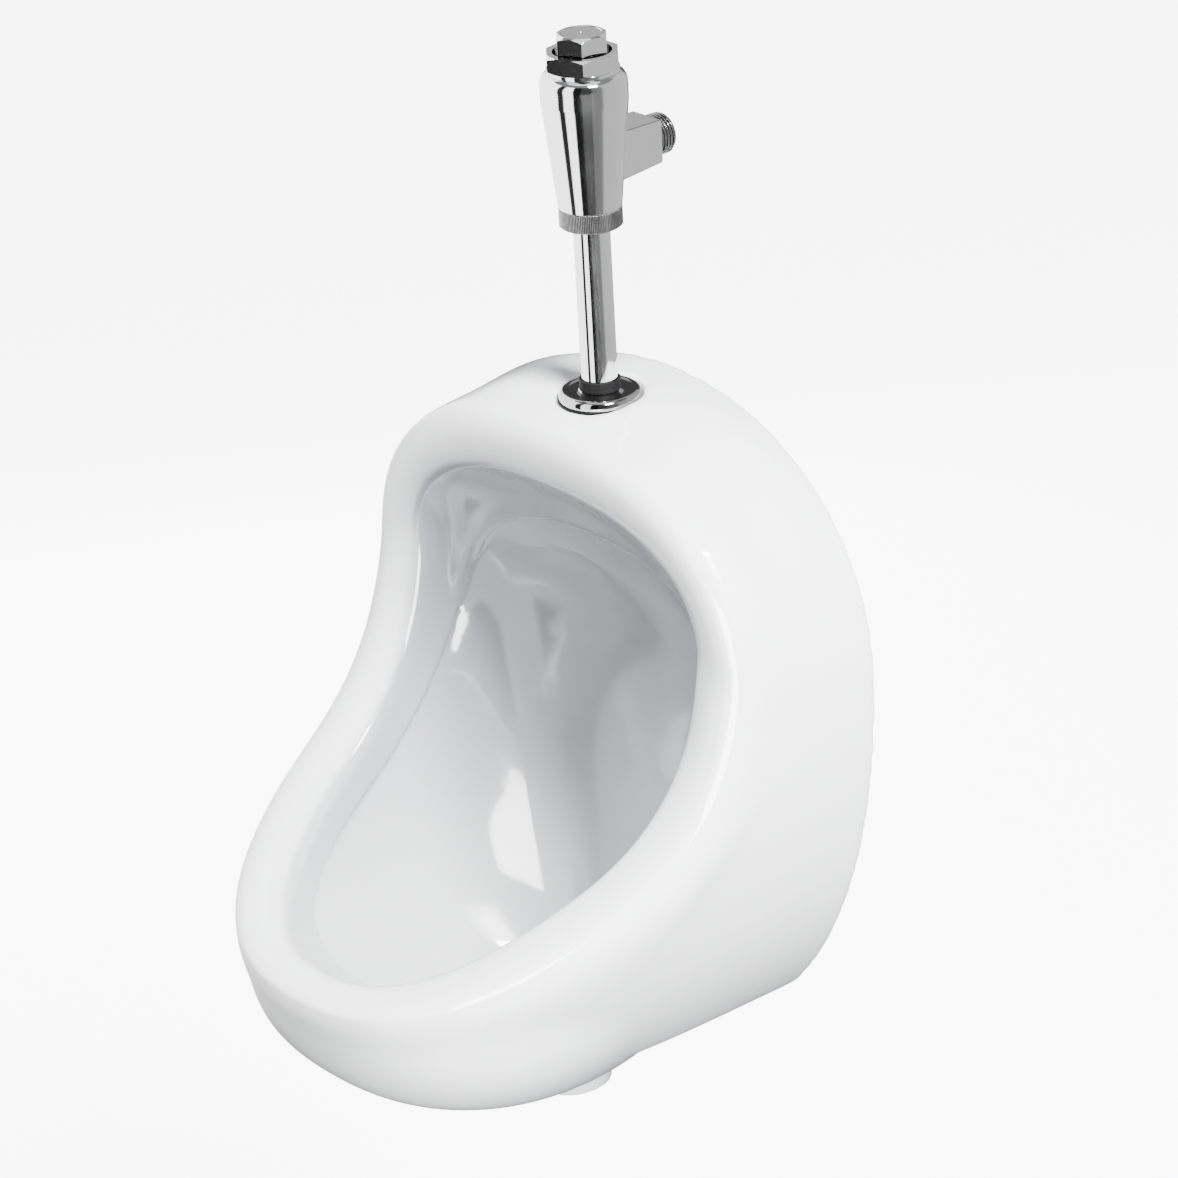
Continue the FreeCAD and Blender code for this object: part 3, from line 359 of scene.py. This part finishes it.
chrome = Finish("polished_chrome", (0.80, 0.80, 0.81), 0.05, Metallic=1.0)
haze = chrome.cloud(55, 4)
chrome.vary("Base Color", chrome.blend(haze, (0.76, 0.765, 0.775), (0.84, 0.84, 0.845)))
chrome.vary("Roughness", 0.03 + 0.06 * haze)
chrome.relief(chrome.cloud(90, 2), 0.03, 0.0006)

PIPE_RADIUS, CLEARANCE = 9, 0.3
HOLE = PIPE_RADIUS + CLEARANCE
seat = heights("inlet_gasket")[1]
top = heights("inlet_rosette")[1]
rosette = spun([(HOLE, seat), (19.9, seat), (20.4, seat + 0.3), (20.6, seat + 1.2),
                (20.5, seat + 2.3), (20.1, seat + 3.5), (19.4, top - 1.3), (18.6, top - 0.9),
                (17.6, top - 0.85), (16.3, top - 1), (14.6, top - 1.1), (12.6, top - 1.05),
                (11.2, top - 0.9), (10.4, top - 0.7), (10, top - 0.4), (10, top), (HOLE, top)],
               rounding=0.12)
# Painted shade: the rosette's chrome is darker than the other chrome, standing in for the dark
# reflections on it
painted_dark_chrome = Finish("chrome_painted_dark", (0.45, 0.44, 0.44), 0.06, Metallic=1.0)
dark_chrome_cloud = painted_dark_chrome.cloud(130, 3)
painted_dark_chrome.vary("Base Color", painted_dark_chrome.blend(dark_chrome_cloud, (0.34, 0.33, 0.33), (0.56, 0.55, 0.55)))
painted_dark_chrome.vary("Roughness", 0.04 + 0.06 * dark_chrome_cloud)
settled("inlet_rosette_cover", rosette, painted_dark_chrome, "urinal", ["inlet_rosette"])

gasket = spun([(HOLE, 0), (20.6, 0), (20.9, 0.3), (20.9, seat - 0.3), (20.6, seat), (HOLE, seat)],
              rounding=0.1)
settled("rosette_gasket", gasket, rubber, "urinal", ["inlet_gasket"])


# Pipe ring: a moulded rubber ring pushed down the pipe, with a lip over the neck of the rosette,
# where it keeps splashes out of the hole in the crown.
foot, top = heights("pipe_seal_ring")
ring = spun([(HOLE, foot), (10.05, foot), (10.05, foot - 0.3), (10.3, foot - 0.35), (10.4, foot),
             (10.3, foot + 0.8), (10.1, foot + 1.2), (10.1, top - 1), (10.25, top - 0.6),
             (10.2, top - 0.2), (9.9, top), (HOLE, top)], rounding=0.1)
settled("pipe_ring", ring, rubber, "urinal", ["pipe_seal_ring"])


# Flush pipe: drawn brass tube, chrome plated and polished along its length, cut square at both
# ends, down from the valve into the seal in the crown.
TUBE_WALL = 1
foot, top = heights("flush_pipe")
pipe = spun([(PIPE_RADIUS - TUBE_WALL, foot), (PIPE_RADIUS, foot), (PIPE_RADIUS, top),
             (PIPE_RADIUS - TUBE_WALL, top)], rounding=0.2)
settled("flush_tube", pipe, chrome, "urinal", ["flush_pipe"])


# Coupling ring: turned brass union nut with fine straight knurling rolled around it for the
# hand, chrome plated, over the end of the pipe.
GRIP, NOTCHES, NOTCH_DEPTH, NOTCH_STEPS = 15.5, 112, 0.65, 4
foot, top = heights("coupling_nut")
coupling = spun([(HOLE, foot), (14.7, foot), (GRIP, foot + 0.6), (GRIP, top - 0.6), (14.9, top),
                 (12.8, top), (12.8, foot + 2), (HOLE, foot + 2)], steps=NOTCHES * NOTCH_STEPS)
turn_steps = NOTCHES * NOTCH_STEPS / math.tau
grooves = [vert for vert in coupling.verts if vert.co.xy.length * MILLIMETRES > GRIP - 0.1
           and round(math.atan2(vert.co.y, vert.co.x) * turn_steps) % NOTCH_STEPS == 0]
inner_share = 1 - NOTCH_DEPTH / GRIP
bmesh.ops.scale(coupling, vec=(inner_share, inner_share, 1), verts=grooves)
# The knurled ring's chrome is dark all over: partly dirt in the knurling, partly painted shade of
# its grooves
plated = Finish("plated_knurling", (0.2, 0.2, 0.2), 0.2, Metallic=1.0)
dirt_and_groove_shade = plated.cloud(420, 3)
plated.vary("Base Color", plated.blend(dirt_and_groove_shade, (0.12, 0.12, 0.12), (0.30, 0.30, 0.30)))
plated.vary("Roughness", 0.14 + 0.14 * dirt_and_groove_shade)
settled("knurled_coupling", coupling, plated, "urinal", ["coupling_nut"])


# Valve body: hot pressed and turned brass, a slim cone that swells to a belt and a rounded
# shoulder, with a square arm and a short half inch thread towards the wall, chrome plated.
def shaped(base, tools):
    """Mesh of a shape after other shapes are joined to it, cut from it or kept inside it."""
    helpers = []
    for bm in [base] + [tool for _, tool in tools]:
        mesh = bpy.data.meshes.new("blank")
        bm.to_mesh(mesh)
        bm.free()
        helper = bpy.data.objects.new("blank", mesh)
        bpy.context.scene.collection.objects.link(helper)
        helpers.append(helper)
    for (operation, _), tool in zip(tools, helpers[1:]):
        step = helpers[0].modifiers.new(operation, "BOOLEAN")
        step.operation, step.object, step.solver = operation, tool, "EXACT"
    result = bpy.data.meshes.new_from_object(
        helpers[0].evaluated_get(bpy.context.evaluated_depsgraph_get()))
    made = bmesh.new()
    made.from_mesh(result)
    for helper in helpers:
        bpy.data.objects.remove(helper)
    return made


def draw_out(bm, faces, step):
    """Makes flat faces into a solid by a step in metres."""
    drawn = bmesh.ops.extrude_face_region(bm, geom=faces)["geom"]
    bmesh.ops.translate(bm, vec=step,
                        verts=[part for part in drawn if isinstance(part, bmesh.types.BMVert)])
    bmesh.ops.recalc_face_normals(bm, faces=bm.faces)


foot, top = heights("valve_body")
BELT, BELT_HEIGHT, SHOULDER_WIDTH, SHOULDER_RISE = 21.2, top - 14, 4.5, 6
shoulder = [(BELT - SHOULDER_WIDTH + SHOULDER_WIDTH * math.cos(turn),
             top - SHOULDER_RISE + SHOULDER_RISE * math.sin(turn))
            for turn in (math.radians(9 * step) for step in range(11))]
shell = spun([(0, foot), (12.5, foot), (12.5, foot + 4.8), (15.1, foot + 4.8),
              (15.5, foot + 5.2), (BELT, BELT_HEIGHT)] + shoulder + [(0, top)], steps=160)
core = spun([(0, foot - 15.5), (HOLE, foot - 15.5), (HOLE, foot + 8.8), (7.5, foot + 8.8),
             (7.5, foot + 10.8), (13.2, foot + 10.8), (13.2, top - 10), (15.5, top - 10),
             (15.5, top + 3.7), (0, top + 3.7)], steps=96)

WALL_DISTANCE = round(-AXIS.y * MILLIMETRES, 3)
INLET_HEIGHT = sum(heights("inlet_filter")) / 2
ARM_WIDTH, ARM_REACH, ARM_RISE, ARM_DROP = 21.5, WALL_DISTANCE - 7, 11, 4
arm = bmesh.new()
flank = [arm.verts.new((-ARM_WIDTH / 2 / MILLIMETRES, reach / MILLIMETRES, height / MILLIMETRES))
         for reach, height in ((0, INLET_HEIGHT - ARM_RISE - ARM_DROP),
                               (ARM_REACH, INLET_HEIGHT - ARM_RISE),
                               (ARM_REACH, INLET_HEIGHT + ARM_RISE),
                               (0, INLET_HEIGHT + ARM_RISE))]
side = bmesh.ops.contextual_create(arm, geom=flank)["faces"]
draw_out(arm, side, (ARM_WIDTH / MILLIMETRES, 0, 0))
long_edges = [edge for edge in arm.edges
              if abs(edge.verts[0].co.y - edge.verts[1].co.y) * MILLIMETRES > ARM_REACH / 2]
bevel_edges(arm, long_edges, 1.6, 5)
end_edges = [edge for edge in arm.edges
             if all(vert.co.y * MILLIMETRES > ARM_REACH - 1 for vert in edge.verts)]
bevel_edges(arm, end_edges, 0.6, 2)


def towards_wall(bm):
    """Turns an upright shape about the inlet axis, with its heights counted from the wall."""
    bmesh.ops.rotate(bm, cent=(0, 0, 0), matrix=Matrix.Rotation(math.radians(-90), 3, "X"),
                     verts=bm.verts)
    bmesh.ops.translate(bm, vec=(0, WALL_DISTANCE / MILLIMETRES, INLET_HEIGHT / MILLIMETRES),
                        verts=bm.verts)
    return bm


neck = towards_wall(spun([(0, -9), (9.75, -9), (9.75, 2.4), (9.2, 3), (0, 3)], steps=96))
bore = towards_wall(spun([(0, -40), (6.5, -40), (6.5, 12), (0, 12)], steps=64))
body = shaped(shell, [("UNION", arm), ("UNION", neck), ("DIFFERENCE", core), ("DIFFERENCE", bore)])
CREASE = math.radians(24)
for edge in body.edges:
    if edge.is_manifold and edge.calc_face_angle() > CREASE:
        edge.smooth = False
    if all(abs(vert.co.z - BELT_HEIGHT / MILLIMETRES) < MERGE_DISTANCE / 2 for vert in edge.verts):
        edge.smooth = False

PITCH, THREAD_TURNS, THREAD_STEPS = 1.814, 4.6, 220
thread = bmesh.new()
tooth = [thread.verts.new((radius / MILLIMETRES, 0, height / MILLIMETRES))
         for radius, height in ((9.6, -6.9), (10.4, -6.2), (10.4, -5.98), (9.6, -5.3))]
ridge = bmesh.ops.contextual_create(thread, geom=tooth)["faces"]
bmesh.ops.spin(thread, geom=ridge, cent=(0, 0, 0), axis=(0, 0, 1),
               angle=math.tau * THREAD_TURNS, steps=THREAD_STEPS, use_merge=False,
               dvec=(0, 0, PITCH / MILLIMETRES * THREAD_TURNS / THREAD_STEPS))
bmesh.ops.recalc_face_normals(thread, faces=thread.faces)
towards_wall(thread)
ridges = bpy.data.meshes.new("ridges")
thread.to_mesh(ridges)
thread.free()
body.from_mesh(ridges)

valve_chrome = Finish("valve_chrome", (0.80, 0.80, 0.81), 0.05, Metallic=1.0)
mist = valve_chrome.cloud(55, 4)
towards = valve_chrome.node("ShaderNodeSeparateXYZ", {}, {0: valve_chrome.place()}, 1)
THREAD_EDGE = (-0.0070, -0.0064)
at_thread = valve_chrome.node("ShaderNodeMapRange", {}, {
    "Value": towards, "From Min": THREAD_EDGE[0], "From Max": THREAD_EDGE[1]})
bright = valve_chrome.blend(mist, (0.76, 0.765, 0.775), (0.84, 0.84, 0.845))
valve_chrome.vary("Base Color", valve_chrome.blend(at_thread, bright, (0.22, 0.22, 0.22)))
valve_chrome.vary("Roughness", 0.03 + 0.06 * mist + 0.14 * at_thread)
valve_chrome.relief(valve_chrome.cloud(90, 2), 0.03, 0.0006)
settled("valve_shell", body, valve_chrome, "urinal", ["valve_body"])


# Cartridge: moulded acetal sleeve on a rubber ring, with a brass spool and a wire spring inside
# that let the water run and close it again slowly.
acetal = Finish("white_acetal", (0.84, 0.84, 0.80), 0.35)
flow_lines = acetal.cloud(70, 3, acetal.place((1, 1, 0.3)))
acetal.vary("Base Color", acetal.blend(flow_lines, (0.78, 0.78, 0.74), (0.88, 0.88, 0.85)))
acetal.vary("Roughness", 0.3 + 0.15 * flow_lines)
acetal.relief(acetal.cloud(900), 0.08, 0.0002)
dress(["cartridge_sleeve"], acetal)

wire = Finish("spring_wire", (0.5, 0.5, 0.52), 0.3, Metallic=1.0)
drawing = wire.cloud(1200, 2)
wire.vary("Base Color", wire.blend(drawing, (0.40, 0.40, 0.42), (0.62, 0.62, 0.63)))
wire.vary("Roughness", 0.22 + 0.2 * drawing)


def sprung(name, node):
    """Copy of a wound spring in spring wire, in place of its CAD piece."""
    coil = joined_copy(name, node)
    coil.data.shade_smooth()
    coil.data.materials.clear()
    coil.data.materials.append(wire.material)
    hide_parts(node)
    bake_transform(coil)


sprung("return_coil", "return_spring")
sprung("button_coil", "button_spring")


# Bonnet: six sided brass nut with both faces chamfered, screwed into the body over a plain
# washer ring, chrome plated. Its recess takes the button.
foot, seat = heights("bonnet_ring")
washer = spun([(15.5, foot), (17.8, foot), (17.8, seat), (15.5, seat)], rounding=0.35)
settled("bonnet_washer", washer, chrome, "urinal", ["bonnet_ring"])


CORNER_TURN, SPARE = math.radians(51), 1


def six_sided(corner, rounding, lathe_profile):
    """Hexagon bar with a corner to the front right, turned down to a profile."""
    low, high = (pick(height for _, height in lathe_profile) for pick in (min, max))
    bar = bmesh.new()
    bmesh.ops.create_circle(bar, cap_ends=True, segments=6, radius=corner / MILLIMETRES)
    bmesh.ops.rotate(bar, cent=(0, 0, 0), matrix=Matrix.Rotation(CORNER_TURN, 3, "Z"),
                     verts=bar.verts)
    bmesh.ops.translate(bar, vec=(0, 0, (low - SPARE) / MILLIMETRES), verts=bar.verts)
    draw_out(bar, list(bar.faces), (0, 0, (high - low + 2 * SPARE) / MILLIMETRES))
    turned = shaped(bar, [("INTERSECT", spun(lathe_profile, steps=144))])
    bmesh.ops.dissolve_limit(turned, angle_limit=math.radians(0.3), verts=turned.verts,
                             edges=turned.edges)
    ease_edges(turned, rounding, math.radians(16))
    return turned


foot, top = heights("bonnet_nut")
bonnet = six_sided(19.7, 0.35, [
    (8.6, foot), (12.8, foot), (12.8, foot + 6.3), (15.2, foot + 6.3), (15.2, seat), (18, seat),
    (20.2, seat + 1.3), (20.2, top - 1.4), (17.4, top), (14.4, top), (14.4, top - 9),
    (2.8, top - 9), (2.8, top - 11.8), (4.6, top - 11.8), (4.6, top - 14), (2.8, top - 14),
    (2.8, top - 16), (8.6, top - 16)])
settled("bonnet_hexagon", bonnet, chrome, "urinal", ["bonnet_nut"])


# Button: six sided brass cap, its round top bevelled and ringed by a shallow step, pressed onto
# the stem and held up by its spring, chrome plated.
foot, top = heights("push_button")
button = six_sided(13.7, 0.25, [
    (9.9, foot), (13, foot), (14, foot + 0.7), (14, top - 2), (11.7, top - 0.4), (11, top),
    (9.8, top), (9.5, top - 0.25), (0.4, top - 0.25), (0.4, top - 3), (2.5, top - 3),
    (2.5, foot + 2), (4.2, foot + 2), (4.2, top - 3), (9.9, top - 3)])
settled("button_cap", button, chrome, "button", ["push_button"])


# Studio: a lit pale floor and round wall well away from the piece, a broad key light from the
# right, softer ones from the left and below, and boards that only bright surfaces mirror.
def stage_piece(name, bm, finish):
    """Thing of the studio that isn't part of the object."""
    mesh = bpy.data.meshes.new(name)
    bm.to_mesh(mesh)
    bm.free()
    prop = bpy.data.objects.new(name, mesh)
    bpy.context.scene.collection.objects.link(prop)
    mesh.materials.append(finish.material)
    return prop


def only_mirrored(board):
    """Hides a board from everything but reflections."""
    board.visible_camera = board.visible_diffuse = board.visible_shadow = False
    board.visible_transmission = False


def round_wall(bm, segments, radius, foot, top):
    """Round upright wall about the pipe's line."""
    rings = [bmesh.ops.create_circle(bm, segments=segments, radius=radius)["verts"]
             for _ in range(2)]
    for ring, height in zip(rings, (foot, top)):
        bmesh.ops.translate(bm, vec=(0, AXIS.y, height), verts=ring)
    bmesh.ops.bridge_loops(bm, edges=bm.edges)


FLOOR_HEIGHT, ROOM_SIZE, ROOM_SIDES = -0.75, 50, 64
sweep = bmesh.new()
round_wall(sweep, ROOM_SIDES, ROOM_SIZE, FLOOR_HEIGHT, ROOM_SIZE)
ground = bmesh.ops.create_circle(sweep, cap_ends=True, segments=ROOM_SIDES, radius=ROOM_SIZE + 1)
bmesh.ops.translate(sweep, vec=(0, 0, FLOOR_HEIGHT), verts=ground["verts"])
pale = Finish("pale_floor", (0.93, 0.93, 0.935), 0.8, Emission_Color=(1, 1, 1, 1),
              Emission_Strength=6.0)
floor = stage_piece("studio_floor", sweep, pale)
floor.visible_diffuse = floor.visible_glossy = False

# Direction that the piece is seen from, and the boards from its left round to its right: angle
# from that direction in degrees and brightness
AROUND, RAISED, TILT = math.radians(51.3), math.radians(24.0), math.radians(-3.2)
FRONT = ((-164, 4.0), (-75, 4.0), (-72, 0.04), (-57, 0.04), (-54, 4.0), (-31, 4.0), (-29, 0.015),
         (-10, 0.015), (-7, 0.07), (17, 0.07), (20, 0.2), (44, 0.3), (52, 0.75), (148, 0.9))
LOW_BACK, HIGH_BACK, BRIGHTEST = 0.10, 0.62, 4.0
BOARD_FOOT, DIM_TOP, BOARD_STEP, BOARD_TOP = FLOOR_HEIGHT + 0.005, -0.42, 0.39, 0.9
STRIPS, BOARD_DISTANCE, DIM_SHADE = 180, 0.7, (0.09, 0.09, 0.09)


def boards(name, foot, top, back):
    """Ring of upright boards, its brightness set by the angle round it and dim at the floor."""
    bm = bmesh.new()
    round_wall(bm, STRIPS, BOARD_DISTANCE, foot, top)
    card = Finish(name, (0, 0, 0), 1.0, Emission_Strength=BRIGHTEST, Specular_IOR_Level=0.0)
    spot = card.node("ShaderNodeTexCoord", {}, {}, "Object")
    across, away, up = (card.node("ShaderNodeSeparateXYZ", {}, {0: spot}, part)
                        for part in range(3))
    bearing = (away - AXIS.y).worked("ARCTAN2", away - AXIS.y, across)
    turn = (bearing - (AROUND - math.pi / 2)) / math.tau + 1.5
    around = [(-180, back), (-168, back), *FRONT, (156, back), (180, back)]
    ramp = card.node("ShaderNodeValToRGB", {
        "stops": [((angle + 180) / 360, (shade / BRIGHTEST,) * 3) for angle, shade in around]},
        {0: turn.worked("FRACT", turn)})
    lit = card.node("ShaderNodeMapRange", {}, {
        "Value": up, "From Min": FLOOR_HEIGHT, "From Max": DIM_TOP})
    card.vary("Emission Color", card.blend(lit, DIM_SHADE, ramp))
    only_mirrored(stage_piece(name, bm, card))


boards("lower_boards", BOARD_FOOT, BOARD_STEP, LOW_BACK)
boards("upper_boards", BOARD_STEP, BOARD_TOP, HIGH_BACK)
overhead = bmesh.new()
bmesh.ops.create_circle(overhead, cap_ends=True, segments=48, radius=0.6)
bmesh.ops.translate(overhead, vec=(0, AXIS.y, 1.6), verts=overhead.verts)
white_card = Finish("overhead_card", (0, 0, 0), 1.0, Emission_Color=(1, 1, 1, 1),
                    Emission_Strength=1.6, Specular_IOR_Level=0.0)
only_mirrored(stage_piece("overhead_board", overhead, white_card))

room = bpy.data.worlds.new("studio")
room.use_nodes = True
bpy.context.scene.world = room
room.node_tree.nodes["Background"].inputs["Color"].default_value = (0.95, 0.97, 1.0, 1)
room.node_tree.nodes["Background"].inputs["Strength"].default_value = 0.3


def soft_light(name, at, aim, size, power):
    """Square light that faces a point, its size in metres and its power in watts."""
    lamp = bpy.data.lights.new(name, "AREA")
    lamp.size, lamp.energy = size, power
    holder = bpy.data.objects.new(name, lamp)
    bpy.context.scene.collection.objects.link(holder)
    holder.location = at
    holder.rotation_euler = (Vector(aim) - Vector(at)).to_track_quat("-Z", "Y").to_euler()
    return holder


soft_light("key", (2.0, -0.35, 2.4), (0, -0.1, -0.1), 0.9, 690)
soft_light("fill", (-1.6, -2.2, 1.2), (0, -0.1, -0.1), 1.6, 45)
soft_light("bounce", (1.5, -1.0, -0.65), (0, -0.1, -0.2), 1.2, 135)
rear_fill = soft_light("rear_fill", (-1.6, 0.9, 0.1), (0, -0.1, -0.15), 1.2, 42)
rear_fill.visible_glossy = False

# Window of light that only the glaze takes, mirrored low in the basin
window = soft_light("basin_window", (0.37, -0.54, -0.04), (0, -0.1, -0.2), 0.33, 17)
window.visible_camera = window.visible_diffuse = False
glazed = bpy.data.collections.new("glazed")
glazed.objects.link(bowl)
window.light_linking.receiver_collection = glazed

# Camera of the photograph: its place in metres, its direction and its lens
CAMERA_PLACE = (1.76215, -1.47073, 0.96556)
backward = Vector((math.sin(AROUND) * math.cos(RAISED), -math.cos(AROUND) * math.cos(RAISED),
                   math.sin(RAISED)))
level = Vector((math.cos(AROUND), math.sin(AROUND), 0))
upright = backward.cross(level)
rightward = level * math.cos(TILT) + upright * math.sin(TILT)
over = upright * math.cos(TILT) - level * math.sin(TILT)
SENSOR_WIDTH, LENS_PIXELS, PICTURE_PIXELS = 36, 5000, 1178
lens = bpy.data.cameras.new("photo_view")
lens.sensor_width, lens.clip_end = SENSOR_WIDTH, 3 * ROOM_SIZE
lens.lens = SENSOR_WIDTH * LENS_PIXELS / PICTURE_PIXELS
camera = bpy.data.objects.new("photo_view", lens)
bpy.context.scene.collection.objects.link(camera)
place = Matrix((rightward, over, backward)).transposed().to_4x4()
place.translation = CAMERA_PLACE
camera.matrix_world = place
bpy.context.scene.camera = camera
